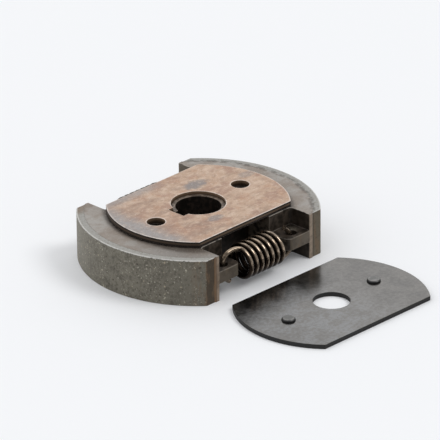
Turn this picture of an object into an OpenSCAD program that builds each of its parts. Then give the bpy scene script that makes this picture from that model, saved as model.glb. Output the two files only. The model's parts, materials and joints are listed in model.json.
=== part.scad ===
// Two-shoe centrifugal clutch for a small engine, at rest on its open side, with its
// cover plate lying beside it. X runs along the way the shoes fly out, Z up the shaft bore.
// The origin is on the bore's axis, at the clutch's lower face.

/* [Shaft bore] */
// Diameter of the engine shaft's bore
bore_d = 20; // [16:0.5:22]
// Width of the key's slot
key_w = 6; // [4:0.5:8]
// Depth of the key's slot beyond the bore's wall
key_depth = 2.8; // [1.5:0.1:3]

/* [Hub] */
// Width of the hub bar that the shoes straddle
hub_w = 30; // [27:0.5:34]
// Radius of the hub bar's upright corners
hub_corner_r = 3; // [1:0.5:5]
// Wall of the round spigot above the hub that centres the drive plate
spigot_wall = 1.85; // [1:0.05:2.2]
// Height of that spigot
spigot_h = 1.1; // [0.5:0.1:2]

/* [Drive plate] */
// Diameter across the plate's round ends
plate_d = 80; // [76:0.5:84]
// Width of the plate between its straight sides
plate_w = 56.2; // [50:0.2:60]
// Thickness of the plate
plate_t = 2.5; // [1.5:0.1:4]
// Radius that softens the plate's four corners
plate_corner_r = 0.8; // [0.3:0.1:3]
// Gap between the spigot and the plate's hole
spigot_gap = 0.1; // [0.05:0.05:0.3]
// Distance between the two holes through the plate
hole_spacing = 52.4; // [50:0.2:56]
// Diameter of the two holes through the plate
hole_d = 8.06; // [6:0.02:9]
// Width of the notch that clears the key
notch_w = 9.2; // [8.4:0.1:11]
// Reach of that notch from the bore's axis
notch_reach = 13.9; // [13.2:0.1:15]

/* [Shoes] */
// Inner diameter of the drum that the shoes grip
drum_d = 110; // [108:0.5:114]
// Travel of each shoe from rest to the drum
shoe_travel = 2.1; // [1.5:0.1:3]
// Height of the shoes
shoe_h = 21.3; // [18:0.1:26]
// Gap above the shoes, under the drive plate
shoe_float = 0.25; // [0.2:0.05:0.6]
// Gap between the two shoes where their inner ends face each other
shoe_gap = 29.6; // [26:0.2:32]
// Angle that each shoe wraps round the drum, in degrees
shoe_wrap = 105.6; // [100:0.2:108]
// Steel between the end of the hub bar's slot and the lining
shoe_bridge = 13.4; // [11:0.2:15]
// Depth of each spring pocket, in from the shoe's end face
pocket_depth = 11.3; // [9:0.1:12.5]
// Gap at each side between the hub bar and the slot of the shoe
guide_gap = 0.15; // [0.1:0.05:0.3]
// Gap between the hub bar's end and the bottom of that slot
rest_gap = 0.2; // [0.1:0.05:0.5]
// Thickness of the steel rim at the shoe's end faces
rim_t = 1.8; // [1:0.1:3]
// Radius in the inner corner of each spring pocket
pocket_r = 1.8; // [1:0.2:5]
// Height of the web across each spring pocket
web_h = 5.6; // [4:0.2:8]
// Radius of the web's free corner
web_nose_r = 3; // [1:0.2:4]
// Diameter of the hook's hole in the web
hook_hole_d = 5.2; // [4.4:0.1:5.6]
// Distance from the web's free end to the middle of that hole
hook_hole_x = 6.8; // [5:0.1:8]
// Distance from the shoe's end face to the middle of that hole
hook_hole_y = 4.9; // [4.2:0.1:6]

/* [Linings] */
// Thickness of the bonded friction lining
lining_t = 3.3; // [2:0.1:5]
// Step at each end where the lining stops short of the steel
lining_step = 0.3; // [0:0.1:1]

/* [Springs] */
// Outer diameter of the coil
coil_d = 16.1; // [12:0.1:16.6]
// Diameter of the wire
wire_d = 2.4; // [1.8:0.1:2.6]
// Number of turns, always a half over, so that one hook leaves at the top and one at the bottom
turns = 6.5; // [4.5:1:6.5]
// Room between the coil's last turn and the shoe's web, the same at both ends of a centred coil
end_room = 4.2; // [3.4:0.1:5.2]
// How far the coil sits off its middle, towards the hook that leaves at the top
coil_shift = 0.8; // [0:0.1:1.2]
// Gap between the wire and the side of its hole that it pulls on
hook_gap = 0.15; // [0.1:0.05:0.3]

/* [Cover plate] */
// Width of the cover between its straight sides
cover_w = 54.8; // [50:0.2:60]
// Length of the cover over its round ends
cover_l = 85.6; // [80:0.2:92]
// Radius of the cover's round ends
cover_end_r = 41.1; // [38:0.1:46]
// Thickness of the cover
cover_t = 2.1; // [1:0.1:3]
// Radius that softens the cover's four corners
cover_corner_r = 0.6; // [0.3:0.1:3]
// Diameter of the hole in the middle of the cover
cover_hole_d = 16.2; // [12:0.2:20]
// Diameter of the cover's two locating pins
pin_d = 6; // [4:0.1:7]
// Height that the pins stand above the cover
pin_proud = 1.1; // [0.6:0.1:4]
// Chamfer round the pins' ends
pin_chamfer = 0.5; // [0.1:0.1:0.8]
// Gap round a pin in its hole through the hub
pin_gap = 0.1; // [0.05:0.05:0.3]
// Gap between the clutch and the cover lying beside it
cover_apart = 10.1; // [4:0.1:30]
// How far the cover lies along X from the clutch's middle
cover_shift = 1.4; // [-10:0.1:10]
// Angle that the cover lies turned by, in degrees
cover_turn = -1.1; // [-10:0.05:10]

/* [Hidden] */
$fn = 96;

// Depth that a cut runs past the face it opens
cut = 1;
bore_r = bore_d / 2;
key_reach = bore_r + key_depth;
spigot_r = bore_r + spigot_wall;
hub_h = shoe_h + shoe_float;

lining_r = drum_d / 2 - shoe_travel;
rim_r = lining_r - lining_t;
inner_x = shoe_gap / 2;
end_y = rim_r * sin(shoe_wrap / 2);
pocket_x = rim_r * cos(shoe_wrap / 2) - rim_t;
block_y = end_y - pocket_depth;
slot_y = hub_w / 2 + guide_gap;
slot_x = rim_r - shoe_bridge;
hub_l = 2 * (slot_x - rest_gap);
web_low = (shoe_h - web_h) / 2;
hole_x = inner_x + hook_hole_x;
hole_y = end_y - hook_hole_y;

wire_r = wire_d / 2;
coil_r = coil_d / 2 - wire_r;
coil_l = shoe_gap - 2 * end_room;
spring_z = shoe_h / 2;

// The swept wire: its sides, and how finely its turns and hooks are divided
wire_sides = 8;
turn_steps = 20;
hook_steps = 10;
curl_steps = 5;
// The hook leaves the coil this many degrees before its top, and these pulls shape its bend
leave = 20;
coil_pull = 10;
foot_pull = 14;
// From the middle of the web on, the wire's end leans back to the coil in an arc
curl_r = 7.5;
curl_turn = 60;
// The wire leans by this much on its way out of the hole, where it pulls on the hole's side
lean = asin(web_h / 2 / curl_r);
foot_x = hole_x - (hook_hole_d / 2 - wire_r / cos(lean) - hook_gap) + curl_r * (1 - cos(lean));

cover_y = -(end_y + cover_apart + cover_w / 2);

function unit(v) = v / norm(v);

// A point on the coil, by degrees from its top at the front end, relative to its middle
function coil_point(a) = [coil_l * (a / (360 * turns) - 0.5), -coil_r * sin(a), coil_r * cos(a)];
function coil_way(a) = unit(coil_point(a - 1) - coil_point(a + 1));

// A smooth curve from p to q that starts along s and ends along t
function bend(p, s, q, t, u) =
    (2 * u ^ 3 - 3 * u ^ 2 + 1) * p + (u ^ 3 - 2 * u ^ 2 + u) * s
    + (3 * u ^ 2 - 2 * u ^ 3) * q + (u ^ 3 - u ^ 2) * t;

// The front hook's points from the coil outwards, over the web and down its hole, with its foot at reach
function hook_path(reach) = concat(
    [for (i = [1:hook_steps])
        bend(coil_point(leave), coil_pull * coil_way(leave), [-reach, 0, web_h / 2 + wire_r / 2],
             [0, 0, -foot_pull], i / hook_steps)],
    [for (i = [0:curl_steps])
        [-reach, 0, 0] + curl_r * [1 - cos(curl_turn * i / curl_steps), 0, -sin(curl_turn * i / curl_steps)]]);

function reversed(list) = [for (i = [len(list) - 1:-1:0]) list[i]];
// The rear hook is the front one turned half round, end over end: under the web and up through its hole
function half_turned(list) = [for (p = list) [-p[0], p[1], -p[2]]];

coil_steps = turns * turn_steps;
coil_path = [for (i = [0:coil_steps]) coil_point(leave + (360 * turns - 2 * leave) * i / coil_steps)];
spring_path = concat(reversed(hook_path(foot_x - coil_shift)), coil_path,
                     half_turned(hook_path(foot_x + coil_shift)));

function way(path, i) = unit(path[min(i + 1, len(path) - 1)] - path[max(i - 1, 0)]);
function squared(side, along) = unit(side - (side * along) * along);
function sides_of(path) =
    [for (i = 0, n = squared([0, 1, 0], way(path, 0)); i < len(path);
          i = i + 1, n = squared(n, way(path, min(i, len(path) - 1)))) n];

// A round wire swept along a list of points
module wire(path) {
    sides = sides_of(path);
    last = len(path) - 1;
    rings = [for (i = [0:last], k = [0:wire_sides - 1])
        let (a = 360 * k / wire_sides)
        path[i] + wire_r * (cos(a) * sides[i] + sin(a) * cross(way(path, i), sides[i]))];
    walls = [for (i = [0:last - 1], k = [0:wire_sides - 1])
        let (m = (k + 1) % wire_sides, here = i * wire_sides, on = here + wire_sides)
        each [[here + k, on + k, on + m], [here + k, on + m, here + m]]];
    ends = [[for (k = [0:wire_sides - 1]) k],
            [for (k = [wire_sides - 1:-1:0]) last * wire_sides + k]];
    polyhedron(rings, concat(walls, ends));
}

// A bar outline with rounded corners, centred on the origin
module rounded_bar(l, w, r) {
    for (x = [-1, 1], y = [-1, 1]) translate([x * (l / 2 - r), y * (w / 2 - r)]) circle(r);
    square([l - 2 * r, w], center = true);
    square([l, w - 2 * r], center = true);
}

// An outline with straight sides and round ends of radius end_r, its four corners softened
module round_ended(l, w, end_r, corner_r) {
    arc_x = l / 2 - end_r;
    corner_y = w / 2 - corner_r;
    corner_x = arc_x + sqrt((end_r - corner_r) ^ 2 - corner_y ^ 2);
    meet_y = corner_y * end_r / (end_r - corner_r);
    square([2 * corner_x, w], center = true);
    for (x = [-1, 1]) {
        intersection() {
            translate([x * arc_x, 0]) circle(end_r, $fn = 180);
            square([l, 2 * meet_y], center = true);
        }
        for (y = [-1, 1]) translate([x * corner_x, y * corner_y]) circle(corner_r);
    }
}

module key_slot(h) {
    translate([-key_reach, -key_w / 2, -cut]) cube([key_reach, key_w, h + 2 * cut]);
}

module hub() {
    color([0.2, 0.19, 0.18]) difference() {
        union() {
            linear_extrude(hub_h) rounded_bar(hub_l, hub_w, hub_corner_r);
            cylinder(h = hub_h + spigot_h, r = spigot_r);
        }
        translate([0, 0, -cut]) cylinder(h = hub_h + spigot_h + 2 * cut, r = bore_r);
        key_slot(hub_h + spigot_h);
        for (s = [-1, 1]) translate([s * hole_spacing / 2, 0, -cut])
            cylinder(h = hub_h + 2 * cut, d = pin_d + 2 * pin_gap);
    }
}

module drive_plate() {
    color([0.72, 0.6, 0.52]) translate([0, 0, hub_h]) difference() {
        linear_extrude(plate_t) difference() {
            round_ended(plate_d, plate_w, plate_d / 2, plate_corner_r);
            translate([-notch_reach, -notch_w / 2]) square([notch_reach, notch_w]);
        }
        translate([0, 0, -cut]) cylinder(h = plate_t + 2 * cut, r = spigot_r + spigot_gap);
        for (s = [-1, 1]) translate([s * hole_spacing / 2, 0, -cut])
            cylinder(h = plate_t + 2 * cut, d = hole_d);
    }
}

// The rear shoe's outline over its full height: rim and middle, less the slot and pockets
module shoe_outline() {
    difference() {
        intersection() {
            circle(rim_r, $fn = 240);
            translate([inner_x, -end_y]) square([rim_r, 2 * end_y]);
        }
        translate([-cut, 0]) rounded_bar(2 * (slot_x + cut), 2 * slot_y, hub_corner_r);
        for (s = [-1, 1]) scale([1, s]) pocket_outline();
    }
}

// The pocket on the +Y side, open at the shoe's inner end and at its end face
module pocket_outline() {
    translate([0, block_y]) {
        square([pocket_x - pocket_r, end_y]);
        translate([0, pocket_r]) square([pocket_x, end_y]);
        translate([pocket_x - pocket_r, pocket_r]) circle(pocket_r, $fn = 64);
    }
}

// The web on the +Y side, with its free corner rounded
module web_outline() {
    difference() {
        union() {
            translate([inner_x + web_nose_r, block_y - cut])
                square([pocket_x + cut - inner_x - web_nose_r, end_y - block_y + cut]);
            translate([inner_x, block_y - cut])
                square([web_nose_r + cut, end_y - block_y + cut - web_nose_r]);
            translate([inner_x + web_nose_r, end_y - web_nose_r]) circle(web_nose_r, $fn = 64);
        }
        translate([hole_x, hole_y]) circle(d = hook_hole_d);
    }
}

module shoe() {
    linear_extrude(shoe_h) shoe_outline();
    for (s = [0, 1]) mirror([0, s, 0]) translate([0, 0, web_low]) linear_extrude(web_h) web_outline();
}

module lining() {
    linear_extrude(shoe_h) intersection() {
        difference() {
            circle(lining_r, $fn = 240);
            circle(rim_r, $fn = 240);
        }
        translate([inner_x, lining_step - end_y]) square([lining_r, 2 * (end_y - lining_step)]);
    }
}

module front_shoe() { color([0.52, 0.49, 0.46]) rotate([0, 0, 180]) shoe(); }
module rear_shoe() { color([0.52, 0.49, 0.46]) shoe(); }
module front_lining() { color([0.36, 0.34, 0.3]) rotate([0, 0, 180]) lining(); }
module rear_lining() { color([0.36, 0.34, 0.3]) lining(); }

module spring() { translate([-coil_shift, -hole_y, spring_z]) wire(spring_path); }
module near_spring() { color([0.5, 0.45, 0.4]) spring(); }
module far_spring() { color([0.5, 0.45, 0.4]) rotate([0, 0, 180]) spring(); }

// Puts what it is given where the cover lies
module beside_clutch() {
    translate([cover_shift, cover_y, 0]) rotate([0, 0, cover_turn]) children();
}

module cover_plate() {
    color([0.3, 0.3, 0.31]) beside_clutch() difference() {
        linear_extrude(cover_t) round_ended(cover_l, cover_w, cover_end_r, cover_corner_r);
        translate([0, 0, -cut]) cylinder(h = cover_t + 2 * cut, d = cover_hole_d);
        for (s = [-1, 1]) translate([s * hole_spacing / 2, 0, -cut])
            cylinder(h = cover_t + 2 * cut, d = pin_d);
    }
}

// A locating pin pressed through the cover, on its front (-1) or rear (1) side
module cover_pin(side) {
    color([0.42, 0.42, 0.43]) beside_clutch() translate([side * hole_spacing / 2, 0, 0]) {
        cylinder(h = cover_t + pin_proud - pin_chamfer, d = pin_d);
        translate([0, 0, cover_t + pin_proud - pin_chamfer])
            cylinder(h = pin_chamfer, d1 = pin_d, d2 = pin_d - 2 * pin_chamfer);
    }
}
module front_cover_pin() { cover_pin(-1); }
module rear_cover_pin() { cover_pin(1); }

hub();
drive_plate();
front_shoe();
rear_shoe();
front_lining();
rear_lining();
near_spring();
far_spring();
cover_plate();
front_cover_pin();
rear_cover_pin();
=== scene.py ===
import json
import math

import bmesh
import bpy
from mathutils import Matrix, Vector


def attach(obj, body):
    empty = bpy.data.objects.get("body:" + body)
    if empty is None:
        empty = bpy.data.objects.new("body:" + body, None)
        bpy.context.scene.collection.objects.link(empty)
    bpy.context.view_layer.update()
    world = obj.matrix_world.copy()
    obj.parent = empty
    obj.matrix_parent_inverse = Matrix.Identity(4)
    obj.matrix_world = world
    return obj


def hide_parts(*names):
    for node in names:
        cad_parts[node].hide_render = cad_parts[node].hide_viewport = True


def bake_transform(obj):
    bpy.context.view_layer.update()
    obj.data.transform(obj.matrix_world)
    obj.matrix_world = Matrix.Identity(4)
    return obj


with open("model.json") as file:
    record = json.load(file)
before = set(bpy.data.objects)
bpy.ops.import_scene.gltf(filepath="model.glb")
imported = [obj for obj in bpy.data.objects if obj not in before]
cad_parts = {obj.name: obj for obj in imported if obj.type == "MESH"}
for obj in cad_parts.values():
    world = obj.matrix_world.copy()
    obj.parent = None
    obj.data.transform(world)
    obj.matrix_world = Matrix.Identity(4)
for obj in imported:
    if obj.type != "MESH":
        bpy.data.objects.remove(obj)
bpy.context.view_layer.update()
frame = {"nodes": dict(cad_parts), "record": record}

# A centrifugal clutch with its cover plate lying beside it. X is the way the shoes fly out, Z the shaft's
# bore, and every size below is in millimetres unless its note says otherwise.

mm = 0.001
scene = bpy.context.scene
bodyOf = {node: body for body, nodes in frame["record"]["behaviour"]["bodies"].items() for node in nodes}
print("frame loaded with", len(frame["nodes"]), "nodes")


# Camera, as the photograph was taken

shot = {
    "azimuth": -46.012,      # degrees from the near side
    "elevation": 25.182,
    "roll": -0.535,
    "distance": 2235.25,     # from the middle of the bore at the clutch's lower face
    "aside": 9.149,          # how far the camera stands to the right of that line of sight
    "above": 14.244,
    "lens": 420.7,
    "clipEnd": 20.0,         # metres
}


def sightLines():
    turn, tilt, roll = (math.radians(shot[name]) for name in ("azimuth", "elevation", "roll"))
    back = Vector((math.sin(turn) * math.cos(tilt), -math.cos(turn) * math.cos(tilt), math.sin(tilt)))
    level = Vector((math.cos(turn), math.sin(turn), 0))
    upright = back.cross(level)
    right = level * math.cos(roll) + upright * math.sin(roll)
    return right, back.cross(right), back


def setCamera():
    right, up, back = sightLines()
    data = bpy.data.cameras.new("camera")
    data.lens = shot["lens"]
    data.clip_end = shot["clipEnd"]
    camera = bpy.data.objects.new("camera", data)
    camera.matrix_world = Matrix((right, up, back)).transposed().to_4x4()
    camera.location = (back * shot["distance"] + right * shot["aside"] + up * shot["above"]) * mm
    scene.collection.objects.link(camera)
    scene.camera = camera


setCamera()
print("camera set")


# Node helpers, for materials and geometry alike

class Signal:
    # A node's output that can be reckoned with: each sum or product adds a Math node to its tree
    def __init__(self, tree, socket):
        self.tree = tree
        self.socket = socket

    def calc(self, operation, *others):
        node = self.tree.nodes.new("ShaderNodeMath")
        node.operation = operation
        for place, value in zip(node.inputs, (self,) + others):
            plug(self.tree, place, value)
        return Signal(self.tree, node.outputs[0])

    def __add__(self, other):
        return self.calc("ADD", other)

    def __sub__(self, other):
        return self.calc("SUBTRACT", other)

    def __mul__(self, other):
        return self.calc("MULTIPLY", other)

    def __truediv__(self, other):
        return self.calc("DIVIDE", other)

    def __rsub__(self, other):
        return self.calc("MULTIPLY_ADD", -1.0, other)

    __radd__ = __add__
    __rmul__ = __mul__

    def size(self):
        return self.calc("ABSOLUTE")


def plug(tree, place, value):
    if isinstance(value, Signal):
        tree.links.new(value.socket, place)
    elif place.type == "RGBA" and len(value) == 3:
        place.default_value = (*value, 1)
    else:
        place.default_value = value


def addNode(tree, kind, inputs=(), output=0, **settings):
    node = tree.nodes.new(kind)
    for name, value in settings.items():
        setattr(node, name, value)
    for place, value in dict(inputs).items():
        plug(tree, node.inputs[place], value)
    return Signal(tree, node.outputs[output])


def parts(vector):
    node = vector.tree.nodes.new("ShaderNodeSeparateXYZ")
    vector.tree.links.new(vector.socket, node.inputs[0])
    return [Signal(vector.tree, out) for out in node.outputs]


def joined(tree, x, y, z):
    return addNode(tree, "ShaderNodeCombineXYZ", {"X": x, "Y": y, "Z": z})


def fade(value, low, high):      # 0 at low, 1 at high, smooth between; low may be the larger
    ends = {"Value": value, "From Min": low, "From Max": high}
    return addNode(value.tree, "ShaderNodeMapRange", ends, interpolation_type="SMOOTHSTEP")


def band(value, middle, reach):      # 1 at the middle, 0 from reach on
    return fade((value - middle).size(), reach, 0.0)


def reachFrom(x, y, centre=(0, 0)):      # distance in plan from an upright axis
    across = x - centre[0]
    along = y - centre[1]
    return (across * across + along * along).calc("SQRT")


def grain(place, size, stretch=(1, 1, 1), shift=0, detail=3, roughness=0.55):
    ways = {0: place, 1: tuple(1 / s for s in stretch), 2: (shift, shift, shift)}
    moved = addNode(place.tree, "ShaderNodeVectorMath", ways, operation="MULTIPLY_ADD")
    looks = {"Vector": moved, "Scale": 1 / size, "Detail": detail, "Roughness": roughness}
    return addNode(place.tree, "ShaderNodeTexNoise", looks)


def specks(place, spacing, reach, share, shift=0):      # ragged flecks in some cells of a random net
    warp = addNode(place.tree, "ShaderNodeTexNoise", {"Vector": place, "Scale": 2 / spacing}, output="Color")
    ways = {0: warp, 1: (spacing * 0.9,) * 3, 2: place}
    bent = addNode(place.tree, "ShaderNodeVectorMath", ways, operation="MULTIPLY_ADD")
    moved = addNode(place.tree, "ShaderNodeVectorMath", {0: bent, 1: (shift,) * 3}, operation="ADD")
    net = place.tree.nodes.new("ShaderNodeTexVoronoi")
    net.inputs["Scale"].default_value = 1 / spacing
    place.tree.links.new(moved.socket, net.inputs["Vector"])
    lot = parts(Signal(place.tree, net.outputs["Color"]))
    near = fade(Signal(place.tree, net.outputs["Distance"]), reach / spacing, reach / spacing * 0.5)
    return near * lot[0].calc("LESS_THAN", share)


def mixed(factor, first, second):
    node = factor.tree.nodes.new("ShaderNodeMix")
    node.data_type = "RGBA"
    for place, value in ((node.inputs[0], factor), (node.inputs[6], first), (node.inputs[7], second)):
        plug(factor.tree, place, value)
    return Signal(factor.tree, node.outputs[2])


def covered(under, over, mask, start, full, share=1.0):      # over gains this share as the mask nears full
    return mixed(fade(mask, start, full) * share, under, over)


class Finish:
    # A material under construction, with the places that its masks read
    def __init__(self, name, metallic=0.0, ior=1.5, specular=0.5):
        self.material = bpy.data.materials.new(name)
        self.material.use_nodes = True
        self.tree = self.material.node_tree
        self.surface = self.tree.nodes["Principled BSDF"]
        self.surface.inputs["Metallic"].default_value = metallic
        self.surface.inputs["IOR"].default_value = ior
        self.surface.inputs["Specular IOR Level"].default_value = specular
        metres = addNode(self.tree, "ShaderNodeTexCoord", output="Object")
        scaled = {0: metres, "Scale": 1 / mm}
        self.place = addNode(self.tree, "ShaderNodeVectorMath", scaled, operation="SCALE")
        self.x, self.y, self.z = parts(self.place)
        facing = addNode(self.tree, "ShaderNodeNewGeometry", output="Normal")
        self.facing = parts(facing)
        self.worn = addNode(self.tree, "ShaderNodeAttribute", output="Fac", attribute_name="worn")

    def finished(self, colour, roughness, relief=None, depth=0.02):
        plug(self.tree, self.surface.inputs["Base Color"], colour)
        plug(self.tree, self.surface.inputs["Roughness"], roughness)
        if relief:
            shape = {"Height": relief, "Distance": depth * mm, "Strength": 1.0}
            normal = addNode(self.tree, "ShaderNodeBump", shape, output="Normal")
            plug(self.tree, self.surface.inputs["Normal"], normal)
        return self.material


# Finishes

plateLook = {
    "tan": (0.48, 0.325, 0.225),
    "cream": (0.63, 0.48, 0.36),
    "rose": (0.365, 0.215, 0.148),
    "copper": (0.47, 0.275, 0.17),
    "umber": (0.235, 0.15, 0.105),
    "ash": (0.305, 0.29, 0.285),
    "stain": (0.205, 0.192, 0.19),
    "bare": (0.86, 0.78, 0.71),
    "wall": (0.017, 0.012, 0.009),
    "brownWall": (0.165, 0.112, 0.072),
    "holeWall": (0.24, 0.155, 0.095),
    "holeShade": (0.05, 0.032, 0.020),
    "radius": 40.0,
    "straight": 28.1,            # |y| of the straight edges
    "middle": 22.85,             # half the plate's thickness up
    "bore": 11.95,
    "holes": (-26.2, 26.2),
    "holeRadius": 4.03,
    "stains": (                  # grey: x, y, length and share of each
        (12.6, 13.9, 7.2, 0.85),
        (-6.4, -16.1, 5.0, 0.7),
        (35.5, 5.2, 5.2, 0.5),
    ),
    "stainShape": 0.55,          # a stain's width to its length
}


def copperWashed():
    look = plateLook
    made = Finish("copperWashed", metallic=0.3)
    x, y = made.x, made.y
    blotches = grain(made.place, 4.6, stretch=(1.3, 1, 1), detail=5)
    clouds = grain(made.place, 9, stretch=(1.3, 1, 1), shift=31)
    colour = covered(look["tan"], look["cream"], blotches, start=0.42, full=0.68, share=0.75)
    colour = covered(colour, look["rose"], clouds, start=0.50, full=0.62, share=0.8)
    # browner towards the front end, in streaks along the plate
    streaks = grain(made.place, 6, stretch=(1.8, 1, 1), shift=121, detail=4) + fade(x, 16, -30) * 0.09
    colour = covered(colour, look["umber"], streaks, start=0.50, full=0.72, share=0.6)
    forward = x + grain(made.place, 9, shift=151) * 26
    colour = covered(colour, look["rose"], forward, start=8, full=-14, share=0.3)
    fresh = grain(made.place, 5.5, shift=57)
    colour = covered(colour, look["copper"], fresh, start=0.53, full=0.68, share=0.55)
    smears = grain(made.place, 2.6, stretch=(1.6, 1, 1), shift=87)
    colour = covered(colour, look["rose"], smears, start=0.54, full=0.68, share=0.4)
    # the copper thins to grey at the front end and along the far edge
    ends = fade(x + grain(made.place, 6, shift=11) * 8, -22, -32) * 0.95
    farEdge = fade(y + grain(made.place, 5, shift=71) * 6, 24, 30) * fade(x, 8, -8) * 0.7
    colour = mixed(ends.calc("MAXIMUM", farEdge), colour, look["ash"])
    for stainX, stainY, length, share in look["stains"]:
        across = (x - stainX) / length
        along = (y - stainY) / (length * look["stainShape"])
        away = (across * across + along * along).calc("SQRT") + grain(made.place, 2.2, shift=5) * 0.9
        colour = mixed(fade(away, 1.6, 1.0) * share, colour, look["stain"])
    # bare metal round the holes and along the outline
    fromAxis = reachFrom(x, y)
    rims = band(fromAxis, look["radius"], reach=0.8).calc("MAXIMUM", band(fromAxis, look["bore"], reach=0.7))
    rims = rims.calc("MAXIMUM", band(y.size(), look["straight"], reach=0.8))
    for hole in look["holes"]:
        rims = rims.calc("MAXIMUM", band(reachFrom(x, y, (hole, 0)), look["holeRadius"], reach=0.8))
    rubbed = fade(grain(made.place, 2.5, shift=3), 0.30, 0.48) * (fade(y, 12, -8) * 0.35 + 0.65)
    wear = (rims * 0.75).calc("MAXIMUM", made.worn * 0.95) * rubbed
    colour = mixed(wear, colour, look["bare"])
    fine = grain(made.place, 0.45, detail=4)
    patches = grain(made.place, 1.6, stretch=(1.5, 1, 1), shift=141, detail=5)
    colour = covered(colour, look["umber"], patches, start=0.54, full=0.66, share=0.35)
    colour = covered(colour, look["cream"], patches, start=0.45, full=0.35, share=0.35)
    colour = covered(colour, look["rose"], fine, start=0.54, full=0.72, share=0.45)
    colour = covered(colour, look["bare"], fine, start=0.44, full=0.28, share=0.35)
    # dark outer wall with a brown line half way up, and brown walls in the holes, darkened deeper down as
    # painted shade
    onCurve = fromAxis.calc("GREATER_THAN", look["radius"] - 1)
    outer = onCurve.calc("MAXIMUM", y.size().calc("GREATER_THAN", look["straight"] - 1))
    onStraight = fade(fromAxis, look["radius"] - 0.3, look["radius"] - 0.8)
    line = band(made.z, look["middle"], reach=0.75) * (onStraight * 0.45 + 0.45)
    deep = fade(made.z, look["middle"] + 1.1, look["middle"] - 0.9)
    inner = mixed(deep, look["holeWall"], look["holeShade"])
    wall = mixed(outer, inner, mixed(line, look["wall"], look["brownWall"]))
    flat = fade(made.facing[2].size(), 0.35, 0.8)
    colour = mixed(flat, wall, colour)
    roughness = 0.36 + grain(made.place, 2.0, stretch=(3, 1, 1), shift=9) * 0.22
    return made.finished(colour, roughness, grain(made.place, 0.8, stretch=(2.5, 1, 1)), depth=0.012)


shoeLook = {
    "top": (0.345, 0.322, 0.295),
    "topDull": (0.26, 0.218, 0.182),
    "grimeAndShade": (0.075, 0.058, 0.044),
    "wall": (0.068, 0.051, 0.037),
    "oilAndShade": (0.017, 0.011, 0.006),
    "web": (0.125, 0.101, 0.073),
    "webTop": (0.064, 0.047, 0.034),
    "rubbed": (0.22, 0.20, 0.155),
    "rubbedAt": (24.9, 32.8),    # |x| and |y| of the light patch on each web
    "rim": (0.33, 0.255, 0.19),
    "end": (0.165, 0.135, 0.10),
    "bright": (0.45, 0.41, 0.36),
    "rust": (0.15, 0.092, 0.052),
    "plateRadius": 40.0,
    "bond": 49.6,                # radius where the lining is glued on
    "topHeight": 21.3,
    "endFace": 39.4,             # |y| of the faces where the shoes end
    "innerFace": 14.9,           # |x| up to which a face looks at the other shoe
    "rimInside": 28.2,           # |x| from which an end face belongs to the rim
    "pocketFloor": 28.4,         # |y| where the spring pockets begin
}


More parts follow.
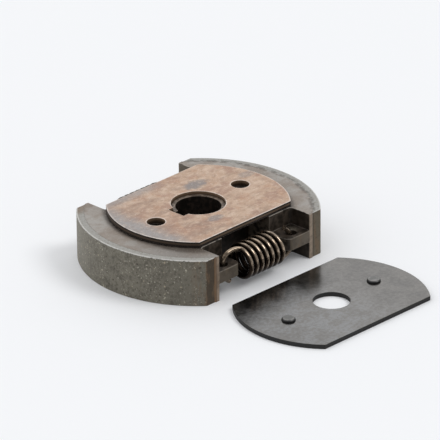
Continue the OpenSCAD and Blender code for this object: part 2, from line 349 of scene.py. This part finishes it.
def sinteredSteel():
    look = shoeLook
    made = Finish("sinteredSteel", metallic=0.25)
    side = made.y.size()
    mottle = grain(made.place, 2.4, detail=5)
    fine = grain(made.place, 0.5, shift=23, detail=3)
    fromAxis = reachFrom(made.x, made.y)
    rearward = fade(made.x, 10, 22)
    broad = grain(made.place, 15, shift=13)
    top = covered(look["topDull"], look["top"], broad, start=0.42, full=0.62)
    top = mixed(fade(mottle, 0.52, 0.70) * (rearward * 0.35 + 0.3), top, look["topDull"])
    # darker towards the near end of the front shoe's top
    top = mixed(fade(made.y, 4, -30) * fade(made.x, 0, -20) * 0.4, top, look["grimeAndShade"])
    top = covered(top, look["bright"], fine, start=0.58, full=0.74, share=0.35)
    # painted shadow of the plate on the shoe tops along its outline, darkest right beside it and widest at
    # the front corner
    outline = fromAxis + mottle * 1.6
    corner = fade(made.x, -8, -22) * fade(made.y, -8, -28)
    spread = outline - corner * 3.2
    rim = look["plateRadius"]
    top = covered(top, look["grimeAndShade"], spread, start=rim + 3.6, full=rim + 1, share=0.8)
    top = covered(top, look["oilAndShade"], outline, start=rim + 1.5, full=rim + 0.6, share=0.85)
    speckle = grain(made.place, 0.9, shift=83, detail=4)
    top = covered(top, look["topDull"], speckle, start=0.54, full=0.68, share=0.35)
    top = covered(top, look["bright"], speckle, start=0.44, full=0.32, share=0.35)
    rusty = fade(made.y + mottle * 6, 34, 40) * fade(made.x, 0, -20)
    top = mixed(rusty * 0.55, top, look["rust"])
    # glue squeezed out along the rear shoe's bond line
    glue = band(fromAxis, look["bond"] - 0.5, reach=1.5) * fade(grain(made.place, 3, shift=43), 0.38, 0.62)
    top = mixed(glue * rearward * 0.7, top, look["grimeAndShade"])
    top = mixed(band(fromAxis, look["bond"], reach=0.3) * 0.3, top, look["oilAndShade"])
    walls = covered(look["oilAndShade"], look["wall"], mottle, start=0.40, full=0.64)
    # darker inside the spring pockets, partly oil and partly painted shade of the recess
    inPocket = fade(side, look["pocketFloor"] - 0.3, look["pocketFloor"] + 0.3)
    walls = mixed(inPocket * fade(fromAxis, 36, 42) * 0.5, walls, look["oilAndShade"])
    # painted light: the shoes' walls on the far side are made lighter
    walls = covered(walls, look["end"], made.y, start=26, full=29, share=0.75)
    # the webs' faces and the shoes' end faces are rubbed lighter
    ledge = fade(made.facing[2].size(), 0.6, 0.9)
    walls = mixed(ledge, walls, covered(look["oilAndShade"], look["webTop"], mottle, start=0.42, full=0.62))
    patch = fade(reachFrom(made.x.size(), side, look["rubbedAt"]) + mottle * 6, 6.6, 3.4)
    walls = mixed(ledge * patch * fade(fine, 0.40, 0.60) * 0.8, walls, look["rubbed"])
    endFace = fade(side, look["endFace"] - 0.5, look["endFace"] - 0.1)
    onRim = fade(made.x.size(), look["rimInside"] - 0.2, look["rimInside"] + 0.1)
    rubbed = mixed(onRim, look["web"], look["rim"])
    walls = mixed(endFace * (fade(mottle, 0.34, 0.60) * 0.35 + 0.62), walls, rubbed)
    inward = fade(made.facing[0].size(), 0.85, 0.98)
    inward = inward * fade(made.x.size(), look["innerFace"] + 0.3, look["innerFace"])
    walls = mixed(inward * fade(mottle, 0.36, 0.60) * 0.7, walls, look["end"])
    rust = fade(grain(made.place, 3.0, stretch=(1, 1, 3), shift=17), 0.56, 0.68) * 0.5
    rust = rust.calc("MAXIMUM", band(fromAxis, look["bond"], reach=0.4) * fade(made.x, 10, -10) * 0.8)
    walls = mixed(rust * endFace, walls, look["rust"])
    atTop = fade(made.z, look["topHeight"] - 0.35, look["topHeight"] - 0.1)
    colour = mixed(atTop * ledge, walls, top)
    offBond = band(fromAxis, look["bond"], reach=0.6) * -1 + 1
    wear = made.worn * offBond * (atTop * 0.6 + 0.15)
    colour = mixed(wear * fade(mottle, 0.36, 0.54), colour, look["bright"])
    roughness = 0.42 + mottle * 0.25
    return made.finished(colour, roughness, fine + mottle, depth=0.02)


liningLook = {
    "matrix": (0.178, 0.164, 0.129),
    "dark": (0.098, 0.088, 0.068),
    "dustyAndLit": (0.27, 0.255, 0.215),
    "pale": (0.52, 0.48, 0.39),
    "brass": (0.44, 0.37, 0.26),
    "top": (0.325, 0.315, 0.292),
    "edge": (0.60, 0.59, 0.56),
    "rust": (0.17, 0.108, 0.062),
    "stain": (0.24, 0.13, 0.06),
    "burnt": (0.040, 0.029, 0.020),
    "end": (0.060, 0.043, 0.027),
    "endPale": (0.125, 0.102, 0.070),
    "flecks": (                  # spacing, reach, share of the cells, shift, strength, colour
        (0.8, 0.24, 0.22, 53, 0.6, "pale"),
        (1.3, 0.34, 0.26, 0, 0.7, "pale"),
        (2.6, 0.52, 0.18, 7, 0.6, "pale"),
        (1.8, 0.42, 0.2, 19, 0.75, "brass"),
    ),
    "outer": 52.9,               # its radii
    "inner": 49.6,
    "topHeight": 21.3,
    "endFace": 39.2,             # |y| of the faces where the linings end
}


def frictionLining():
    look = liningLook
    made = Finish("frictionLining", specular=0.4)
    side = made.y.size()
    coarse = grain(made.place, 1.3, detail=5, roughness=0.65)
    fine = grain(made.place, 0.35, shift=29, detail=3)
    broad = grain(made.place, 5.0, shift=61, detail=3)
    colour = covered(look["dark"], look["matrix"], coarse + broad * 0.4, start=0.52, full=0.80)
    colour = covered(colour, look["dark"], fine, start=0.56, full=0.72, share=0.5)
    # painted light and shade on the front lining: lighter towards its far end, darker towards its near end
    colour = mixed(fade(made.y, 2, 36) * fade(made.x, 0, -20) * 0.5, colour, look["dustyAndLit"])
    colour = mixed(fade(made.y, -8, -34) * fade(made.x, 0, -20) * 0.3, colour, look["dark"])
    dust = grain(made.place, 0.5, stretch=(1, 1, 2), shift=91)
    colour = covered(colour, look["dustyAndLit"], dust, start=0.56, full=0.70, share=0.35)
    for spacing, reach, share, shift, strength, tint in look["flecks"]:
        colour = mixed(specks(made.place, spacing, reach, share, shift) * strength, colour, look[tint])
    pits = specks(made.place, spacing=1.7, reach=0.5, share=0.25, shift=37)
    colour = mixed(pits * 0.7, colour, look["burnt"])
    # rust has crept in from the ends, in upright runs
    runs = grain(made.place, 1.4, stretch=(1, 1, 5), shift=47, detail=4)
    nearEnd = fade(side, look["endFace"] - 6.5, look["endFace"] - 0.4)
    colour = mixed(nearEnd * fade(runs, 0.40, 0.64) * 0.6, colour, look["rust"])
    endFace = fade(side, look["endFace"] - 0.6, look["endFace"] - 0.2)
    endFace = endFace * fade(made.facing[1].size(), 0.8, 0.95)
    # the rear lining's end face is painted paler than the front one's, as light falls on it
    endColour = covered(look["end"], look["endPale"], made.x, start=-10, full=10)
    endColour = covered(endColour, look["rust"], runs, start=0.50, full=0.66, share=0.6)
    endColour = covered(endColour, look["burnt"], coarse, start=0.50, full=0.66, share=0.5)
    fromAxis = reachFrom(made.x, made.y)
    joint = band(fromAxis, look["inner"], reach=0.6) * 0.8
    endColour = mixed(joint, endColour, covered(look["stain"], look["burnt"], made.x, start=-10, full=10))
    colour = mixed(endFace * 0.95, colour, endColour)
    # the ground top, with its pale worn outer edge and the dark glue line
    rearward = fade(made.x, 10, 22)
    top = covered(look["top"], look["matrix"], coarse, start=0.48, full=0.66, share=0.5)
    top = covered(top, look["edge"], fine, start=0.46, full=0.30, share=0.4)
    top = mixed(fade(made.y + broad * 6, 35, 40) * fade(made.x, 0, -20) * 0.6, top, look["rust"])
    glueLine = band(fromAxis, look["inner"], reach=0.35) * (fade(made.y, 0, 20) * 0.25 + 0.1)
    top = mixed(glueLine, top, look["burnt"])
    glue = band(fromAxis, look["inner"] + 0.3, reach=1.1) * fade(grain(made.place, 3, shift=43), 0.40, 0.60)
    top = mixed(glue * rearward * 0.6, top, look["burnt"])
    wornEdge = fade(fromAxis, look["outer"] - 0.8, look["outer"] - 0.2) * fade(coarse, 0.36, 0.5)
    top = mixed(wornEdge * 0.8, top, look["edge"])
    upward = fade(made.facing[2].size(), 0.5, 0.85)
    colour = mixed(upward, colour, top)
    atTop = fade(made.z, look["topHeight"] - 0.5, look["topHeight"] - 0.2)
    colour = mixed(made.worn * atTop * fade(coarse, 0.36, 0.52) * 0.8, colour, look["edge"])
    roughness = 0.62 + coarse * 0.25
    return made.finished(colour, roughness, coarse + fine * 0.6 - pits * 0.5, depth=0.06)


hubLook = {
    "oilAndShade": (0.007, 0.005, 0.003),
    "brown": (0.032, 0.020, 0.014),
    "ring": (0.080, 0.058, 0.042),
    "bare": (0.21, 0.163, 0.125),
    "spigotTop": 22.65,
}


def oiledHub():
    look = hubLook
    made = Finish("oiledHub", metallic=0.3)
    mottle = grain(made.place, 2.2, detail=4)
    colour = covered(look["oilAndShade"], look["brown"], mottle, start=0.42, full=0.66)
    ring = fade(made.z, look["spigotTop"] - 0.3, look["spigotTop"] - 0.1)
    ringSpots = grain(made.place, 1.5, shift=5)
    ringColour = covered(look["ring"], look["bare"], ringSpots, start=0.42, full=0.62)
    colour = mixed(ring, colour, ringColour)
    colour = mixed(made.worn * fade(mottle, 0.42, 0.56) * ring * 0.8, colour, look["bare"])
    roughness = 0.34 + mottle * 0.25
    return made.finished(colour, roughness, mottle, depth=0.015)


wireLook = {
    "steel": (0.44, 0.342, 0.252),
    "scale": (0.072, 0.050, 0.034),
    "bright": (0.80, 0.72, 0.62),
    "oilAndShade": (0.015, 0.009, 0.005),
    "fromMiddle": 34.608,        # |y| of both coils' axes
    "height": 10.65,
    "coilEnd": 12.5,             # |x| where the hooks begin
    "lineLength": 0.06,          # how the die's lines are drawn out along the wire
    "lineWidth": 2.5,
}


def drawnWire():
    look = wireLook
    made = Finish("drawnWire", metallic=0.9)
    # the die's lines run along the wire, so they read the wire's own length and girth
    length = addNode(made.tree, "ShaderNodeAttribute", output="Fac", attribute_name="wireLength")
    girth = addNode(made.tree, "ShaderNodeAttribute", output="Vector", attribute_name="wireGirth")
    across, up = parts(girth)[:2]
    drawn = joined(made.tree, length * look["lineLength"], across * look["lineWidth"], up * look["lineWidth"])
    lines = grain(drawn, 0.5, detail=4)
    patches = grain(made.place, 2.6, shift=9, detail=4)
    colour = covered(look["steel"], look["scale"], patches, start=0.46, full=0.64, share=0.7)
    colour = covered(colour, look["bright"], lines, start=0.54, full=0.68, share=0.45)
    colour = covered(colour, look["scale"], lines, start=0.44, full=0.32, share=0.4)
    # the outside of the coils is rubbed bright and oil stays between the turns, partly as painted shade
    # there; the lower half of each coil is darkened as painted shade
    out = made.y.size() - look["fromMiddle"]
    over = made.z - look["height"]
    reach = (out * out + over * over).calc("SQRT")
    outward = (made.facing[1] * made.y.calc("SIGN") * out + made.facing[2] * over) / reach
    cleanAndLit = fade(outward, 0.74, 1.0) * fade(over, -5.2, 0.6)
    beyond = fade(made.x.size(), look["coilEnd"], look["coilEnd"] + 2) * 0.8
    colour = mixed(cleanAndLit.calc("MAXIMUM", beyond * 0.6), look["oilAndShade"], colour)
    # darker on the far spring
    colour = covered(colour, look["oilAndShade"], made.y, start=-5, full=5, share=0.6)
    roughness = 0.15 + patches * 0.14
    return made.finished(colour, roughness, lines, depth=0.006)


coverLook = {
    "black": (0.002, 0.002, 0.002),
    "grey": (0.008, 0.007, 0.006),
    "scuff": (0.055, 0.049, 0.042),
    "wall": (0.020, 0.020, 0.020),
    "brown": (0.97, 0.93, 0.88),       # tints of its shine
    "plain": (1.0, 1.0, 1.0),
    "shine": 0.36,
    "dullEnds": 0.07,                  # taken off the shine there
    "dullReflection": 0.35,
    "reflectionDimEnds": -71.5,                  # y where the painted darker reflection beside the clutch ends, and where it is full
    "reflectionDimFull": -57.0,
}


def blackenedCover():
    look = coverLook
    made = Finish("blackenedCover", ior=2.7)
    # rolled steel: faint bands along the plate and fine cross-hatched scuffs
    bands = grain(made.place, 3.2, stretch=(6, 1, 1), detail=4)
    clouds = grain(made.place, 7, shift=21, detail=5)
    fine = grain(made.place, 0.5, stretch=(2, 1, 1), shift=3, detail=4)
    colour = covered(look["black"], look["grey"], clouds, start=0.42, full=0.62)
    colour = covered(colour, look["grey"], bands, start=0.50, full=0.68, share=0.6)
    colour = covered(colour, look["scuff"], fine, start=0.58, full=0.72, share=0.45)
    flat = fade(made.facing[2].size(), 0.5, 0.9)
    colour = mixed(flat, look["wall"], colour)
    colour = mixed(made.worn * fade(bands, 0.42, 0.58) * 0.5, colour, look["scuff"])
    # it shines less towards both ends, and least along the edge beside the clutch, where the duller shine
    # paints the clutch's reflection darker
    tarnish = grain(made.place, 1.6, shift=33, detail=5)
    smooth = fade(clouds, 0.36, 0.70) * 0.06 + fine * 0.08 + 0.13
    roughness = flat * (smooth - 0.6) + 0.6
    ends = fade(made.x, -12, -38) + fade(made.x, 10, 20)
    dimReflection = fade(made.y - made.x * 0.1, look["reflectionDimEnds"], look["reflectionDimFull"]) * fade(made.x, 20, 8)
    patchy = fade(tarnish, 0.36, 0.64) * 0.10 + fade(clouds, 0.38, 0.62) * 0.09
    shine = patchy + look["shine"] - ends * look["dullEnds"] - dimReflection * look["dullReflection"]
    tint = mixed(fade(clouds + tarnish, 0.90, 1.12) * fade(made.x, 30, -10), look["brown"], look["plain"])
    plug(made.tree, made.surface.inputs["Specular Tint"], tint)
    plug(made.tree, made.surface.inputs["Specular IOR Level"], flat * shine + 0.05)
    return made.finished(colour, roughness, fine + bands * 0.6, depth=0.0035)


pinLook = {
    "turned": (0.13, 0.128, 0.122),
    "dark": (0.018, 0.018, 0.018),
    "bright": (0.30, 0.292, 0.278),
    "top": 3.2,
}


def turnedPin():
    look = pinLook
    made = Finish("turnedPin", metallic=0.45)
    mottle = grain(made.place, 2.2, detail=3)
    top = covered(look["turned"], look["bright"], mottle, start=0.42, full=0.6, share=0.5)
    colour = covered(look["dark"], top, made.z, start=look["top"] - 0.45, full=look["top"] - 0.1)
    # painted shade on the slanted edge round the top, darkened like the sides
    colour = covered(colour, look["dark"], made.facing[2], start=0.95, full=0.8, share=0.75)
    roughness = 0.28 + mottle * 0.15
    return made.finished(colour, roughness, mottle, depth=0.002)


finishes = {maker.__name__: maker() for maker in
            (copperWashed, sinteredSteel, frictionLining, oiledHub, drawnWire, blackenedCover, turnedPin)}
print("finishes made:", ", ".join(finishes))


# Solid pieces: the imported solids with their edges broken

solids = {      # node: width of its broken edges, the same for upright edges, finish, material slot
    "hub": (0.25, 0.25, "oiledHub", "hub_steel"),
    "drive_plate": (0.2, 0.2, "copperWashed", "copper_washed_plate"),
    "front_shoe": (0.25, 0.25, "sinteredSteel", "shoe_steel"),
    "rear_shoe": (0.25, 0.25, "sinteredSteel", "shoe_steel"),
    "front_lining": (0.3, 0.7, "frictionLining", "friction_lining"),
    "rear_lining": (0.3, 0.7, "frictionLining", "friction_lining"),
    "cover_plate": (0.15, 0.15, "blackenedCover", "cover_steel"),
    "front_cover_pin": (0.12, 0.12, "turnedPin", "pin_steel"),
    "rear_cover_pin": (0.12, 0.12, "turnedPin", "pin_steel"),
}
edging = {
    "steps": 2,
    "sharpest": 35,      # degrees between faces from which an edge is broken
    "weld": 0.002,
    "flatness": 0.4,     # degrees up to which faces count as one plane
    "bond": 49.6,        # radius of the glued joint, whose edges stay almost sharp
    "bondWidth": 0.04,
    "onBond": 0.05,      # how near that radius an edge has to be
    "standing": 0.9,     # an edge counts as upright if it rises by this share of its length
    "evenness": 100,     # how far large faces set the shading at the edges
}


def edgeWidth(edge, width, upright):
    # how wide this edge is broken, in millimetres
    if len(edge.link_faces) != 2 or edge.calc_face_angle() < math.radians(edging["sharpest"]):
        return 0
    ends = [vert.co / mm for vert in edge.verts]
    if all(abs(math.hypot(end.x, end.y) - edging["bond"]) < edging["onBond"] for end in ends):
        return edging["bondWidth"]
    standing = abs(ends[0].z - ends[1].z) > edging["standing"] * (ends[0] - ends[1]).length
    return upright if standing else width


def cleanCopy(node, width, upright, finish):
    mesh = frame["nodes"][node].data.copy()
    mesh.materials.clear()
    for place in range(2):      # the second place marks the broken edges until their attribute is written
        mesh.materials.append(finish)
    work = bmesh.new()
    work.from_mesh(mesh)
    bmesh.ops.remove_doubles(work, verts=work.verts, dist=edging["weld"] * mm)
    flat = math.radians(edging["flatness"])
    bmesh.ops.dissolve_limit(work, angle_limit=flat, verts=work.verts, edges=work.edges)
    for face in work.faces:
        face.smooth = True
        face.material_index = 0
    share = work.edges.layers.float.new("bevel_weight_edge")
    for edge in work.edges:
        edge[share] = edgeWidth(edge, width, upright) / max(width, upright)
    work.to_mesh(mesh)
    work.free()
    return mesh


def softened(node, width, upright, finish):
    piece = bpy.data.objects.new(node + "_body", cleanCopy(node, width, upright, finish))
    scene.collection.objects.link(piece)
    bevel = piece.modifiers.new("edges", "BEVEL")
    bevel.width = max(width, upright) * mm
    bevel.segments = edging["steps"]
    bevel.limit_method = "WEIGHT"
    bevel.use_clamp_overlap = False
    bevel.loop_slide = False      # sliding makes faces with holes cross themselves
    bevel.miter_outer = "MITER_ARC"
    bevel.material = 1
    shading = piece.modifiers.new("shading", "WEIGHTED_NORMAL")
    shading.weight = edging["evenness"]
    seen = piece.evaluated_get(bpy.context.evaluated_depsgraph_get())
    mesh = bpy.data.meshes.new_from_object(seen)
    piece.modifiers.clear()
    piece.data = mesh
    worn = mesh.attributes.new("worn", "FLOAT", "FACE")
    for face in mesh.polygons:
        worn.data[face.index].value = face.material_index
        face.material_index = 0
    mesh.materials.pop()
    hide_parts(node)
    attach(piece, bodyOf[node])


for node, (width, upright, finish, slot) in solids.items():
    softened(node, width, upright, finishes[finish])
    print("edges broken on", node)


# Springs: each is wound in two halves that meet at its middle

spring = {
    "wireRadius": 1.2,
    "coilRadius": 6.85,          # to the middle of the wire
    "coilLength": 21.2,
    "turns": 6.5,
    "leave": 20,                 # degrees before its top where the hook leaves the coil
    "coilPull": 10,              # how strongly the coil and the web draw the hook's bend
    "footPull": 14,
    "footReach": 20.986,         # from the clutch's middle to the hook's foot
    "shift": 0.8,                # how far the coil sits towards the hook that leaves at the top
    "webHeight": 5.6,
    "curlRadius": 7.5,
    "curlTurn": 60,
    "curlSteps": 10,
    "hookSteps": 24,
    "coilSteps": 180,
    "girthSteps": 14,
    "stretchFrom": 12.7,
    "height": 10.65,
    "fromMiddle": 34.608,        # |y| of both springs
}


springInputs = {      # named inputs of the winding tree, and the size that each one takes
    "Wire radius": "wireRadius", "Coil radius": "coilRadius", "Coil length": "coilLength",
    "Coil pull": "coilPull", "Foot pull": "footPull", "Web height": "webHeight", "Curl radius": "curlRadius",
}


def entrance(tree, name, kind):
    return tree.interface.new_socket(name, in_out="INPUT", socket_type=kind).identifier


def windingTree():
    tree = bpy.data.node_groups.new("hookedHalfCoil", "GeometryNodeTree")
    tree.interface.new_socket("Geometry", in_out="OUTPUT", socket_type="NodeSocketGeometry")
    inputs = {}
    for name in ("Turns", "Foot reach", *springInputs):
        inputs[name] = entrance(tree, name, "NodeSocketFloat")
    for name in ("Place", "Turned"):
        inputs[name] = entrance(tree, name, "NodeSocketVector")
    inputs["Finish"] = entrance(tree, "Finish", "NodeSocketMaterial")
    entry = tree.nodes.new("NodeGroupInput")
    given = {out.name: Signal(tree, out) for out in entry.outputs if out.name}
    turns = given["Turns"]

    def coilAt(angle):      # degrees from the coil's top at the hooked end
        way = angle.calc("RADIANS")
        x = given["Coil length"] * (angle / (turns * 360) - 0.5)
        return x, way.calc("SINE") * given["Coil radius"] * -1, way.calc("COSINE") * given["Coil radius"]

    index = addNode(tree, "GeometryNodeInputIndex")
    curlEnd = spring["curlSteps"]
    hookEnd = curlEnd + spring["hookSteps"]
    # the wire's end, which leans back to the coil from the middle of the web on
    curlAngle = ((curlEnd - index) / curlEnd * spring["curlTurn"]).calc("RADIANS")
    curl = (given["Curl radius"] * (1 - curlAngle.calc("COSINE")) - given["Foot reach"], index * 0,
            given["Curl radius"] * curlAngle.calc("SINE") * -1)
    # the hook, a smooth bend from the coil over the web: it leaves along the coil and comes down on the web
    leave = index * 0 + spring["leave"]
    start = coilAt(leave)
    before, after = coilAt(leave - 1), coilAt(leave + 1)
    gap = [b - a for b, a in zip(before, after)]
    span = (gap[0] * gap[0] + gap[1] * gap[1] + gap[2] * gap[2]).calc("SQRT")
    pull = [g / span * given["Coil pull"] for g in gap]
    foot = (given["Foot reach"] * -1, index * 0, given["Web height"] * 0.5 + given["Wire radius"] * 0.5)
    footPull = (index * 0, index * 0, given["Foot pull"] * -1)
    u = 1 - (index - (curlEnd + 1)) / spring["hookSteps"]
    square, cube = u * u, u * u * u
    hook = [(2 * cube - 3 * square + 1) * start[i] + (cube - 2 * square + u) * pull[i]
            + (3 * square - 2 * cube) * foot[i] + (cube - square) * footPull[i] for i in range(3)]
    # the coil, as far as the spring's middle
    along = (index - (hookEnd + 1)) / spring["coilSteps"]
    coil = coilAt((turns * 180 - spring["leave"]) * along + spring["leave"])
    inCurl = index.calc("LESS_THAN", curlEnd + 0.5)
    inCoil = index.calc("GREATER_THAN", hookEnd + 0.5)
    inHook = 1 - inCurl - inCoil
    point = [c * inCurl + h * inHook + w * inCoil for c, h, w in zip(curl, hook, coil)]

    count = hookEnd + spring["coilSteps"] + 2
    line = addNode(tree, "GeometryNodeMeshLine", {"Count": count})
    laid = addNode(tree, "GeometryNodeSetPosition", {"Geometry": line, "Position": joined(tree, *point)})
    path = addNode(tree, "GeometryNodeMeshToCurve", {"Mesh": laid})
    length = addNode(tree, "GeometryNodeSplineParameter", output="Length")
    marked = {"Geometry": path, "Name": "wireLength", "Value": length * (1 / mm)}
    path = addNode(tree, "GeometryNodeStoreNamedAttribute", marked, data_type="FLOAT", domain="POINT")
    section = addNode(tree, "GeometryNodeCurvePrimitiveCircle",
                      {"Resolution": spring["girthSteps"], "Radius": given["Wire radius"]})
    place = addNode(tree, "GeometryNodeInputPosition")
    unit = addNode(tree, "ShaderNodeVectorMath", {0: place}, operation="NORMALIZE")
    marked = {"Geometry": section, "Name": "wireGirth", "Value": unit}
    section = addNode(tree, "GeometryNodeStoreNamedAttribute", marked, data_type="FLOAT_VECTOR",
                      domain="POINT")
    swept = {"Curve": path, "Profile Curve": section, "Fill Caps": True}
    wire = addNode(tree, "GeometryNodeCurveToMesh", swept)
    smooth = addNode(tree, "GeometryNodeSetShadeSmooth", {"Geometry": wire, "Shade Smooth": True})
    moved = addNode(tree, "GeometryNodeTransform",
                    {"Geometry": smooth, "Translation": given["Place"], "Rotation": given["Turned"]})
    real = addNode(tree, "GeometryNodeRealizeInstances", {"Geometry": moved})
    dressed = addNode(tree, "GeometryNodeSetMaterial", {"Geometry": real, "Material": given["Finish"]})
    leaving = tree.nodes.new("NodeGroupOutput")
    tree.links.new(dressed.socket, leaving.inputs[0])
    return tree, inputs


def woundHalf(tree, inputs, node, side, end):
    # side is -1 for the near spring, end is -1 for the half that is hooked into the front shoe
    piece = bpy.data.objects.new(f"{node}_{'front' if end < 0 else 'rear'}", bpy.data.meshes.new(node))
    scene.collection.objects.link(piece)
    winding = piece.modifiers.new("winding", "NODES")
    winding.node_group = tree
    for name, key in springInputs.items():
        winding[inputs[name]] = spring[key] * mm
    winding[inputs["Turns"]] = spring["turns"]
    # where side and end agree the hook goes over its web, otherwise the half is turned end over end
    winding[inputs["Foot reach"]] = (spring["footReach"] - side * end * spring["shift"]) * mm
    half = math.pi      # half a turn
    turned = {(-1, -1): (0, 0, 0), (-1, 1): (0, half, 0), (1, 1): (0, 0, half), (1, -1): (half, 0, 0)}
    winding[inputs["Turned"]] = turned[side, end]
    middle = Vector((side * spring["shift"], side * spring["fromMiddle"], spring["height"])) * mm
    winding[inputs["Place"]] = middle
    winding[inputs["Finish"]] = finishes["drawnWire"]
    seen = piece.evaluated_get(bpy.context.evaluated_depsgraph_get())
    mesh = bpy.data.meshes.new_from_object(seen)
    piece.modifiers.clear()
    piece.data = mesh
    for face in mesh.polygons:
        if len(face.vertices) > 4:      # the cut ends stay flat
            face.use_smooth = False
    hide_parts(node)
    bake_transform(piece)


halfCoil, halfCoilInputs = windingTree()
for node, side in (("near_spring", -1), ("far_spring", 1)):
    for end in (-1, 1):
        woundHalf(halfCoil, halfCoilInputs, node, side, end)
    print("wound", node)


# Floor and studio light

studio = {
    "paper": (0.908, 0.915, 0.928),
    "floor": (0.835, 0.842, 0.854),
    "fibre": (0.80, 0.81, 0.825),
    "fibreSize": 40,
    "fibreShare": 0.03,
    "floorDrop": 0.02,               # how far the floor lies below the clutch
    "shadowLift": 0.075,             # keeps the shadows on the paper pale
    "span": 12.0,                    # metres
    "keyFrom": (0.35, -0.52, 0.78),
    "keyStrength": 0.95,
    "keySpread": 28,                 # degrees across, as seen from the floor
    "front": 0.43,                   # the surroundings behind the camera
    "back": 1.18,                    # the surroundings behind the clutch
    "away": 0.65,                    # the brightest way: this much straight back, this much left
    "left": 0.75,
    "lift": 0.35,                    # how far above the horizon they are brightest
    "dimFrom": -0.6,                 # cosines of the angle to the brightest way
    "fullFrom": 0.85,
}


def layFloor():
    reach = studio["span"] / 2
    mesh = bpy.data.meshes.new("floor")
    level = -studio["floorDrop"] * mm
    corners = [(-reach, -reach, level), (reach, -reach, level), (reach, reach, level), (-reach, reach, level)]
    mesh.from_pydata(corners, [], [(0, 1, 2, 3)])
    floor = bpy.data.objects.new("floor", mesh)
    scene.collection.objects.link(floor)
    paper = Finish("paper", specular=0.0)
    fibre = grain(paper.place, studio["fibreSize"])
    tone = mixed(fibre * studio["fibreShare"], studio["floor"], studio["fibre"])
    paper.surface.inputs["Emission Color"].default_value = (*studio["paper"], 1)
    paper.surface.inputs["Emission Strength"].default_value = studio["shadowLift"]
    mesh.materials.append(paper.finished(tone, 0.9))


def lightStudio():
    world = bpy.data.worlds.new("studio")
    scene.world = world
    world.use_nodes = True
    tree = world.node_tree
    way = addNode(tree, "ShaderNodeTexCoord", output="Generated")
    right, up, back = sightLines()
    away = Vector((-back.x, -back.y, 0)).normalized() * studio["away"]
    left = Vector((-right.x, -right.y, 0)).normalized() * studio["left"]
    brightest = (away + left + Vector((0, 0, studio["lift"]))).normalized()
    ways = {0: way, 1: brightest}
    towards = addNode(tree, "ShaderNodeVectorMath", ways, output="Value", operation="DOT_PRODUCT")
    rise = fade(towards, studio["dimFrom"], studio["fullFrom"])
    glow = rise * (studio["back"] - studio["front"]) + studio["front"]
    background = tree.nodes["Background"]
    background.inputs["Color"].default_value = (*studio["paper"], 1)
    plug(tree, background.inputs["Strength"], glow)
    key = bpy.data.lights.new("key", "SUN")
    key.energy = studio["keyStrength"]
    key.angle = math.radians(studio["keySpread"])
    lamp = bpy.data.objects.new("key", key)
    lamp.rotation_euler = Vector(studio["keyFrom"]).to_track_quat("Z", "Y").to_euler()
    scene.collection.objects.link(lamp)


layFloor()
lightStudio()
scene.view_settings.view_transform = "Standard"
print("floor and light set")
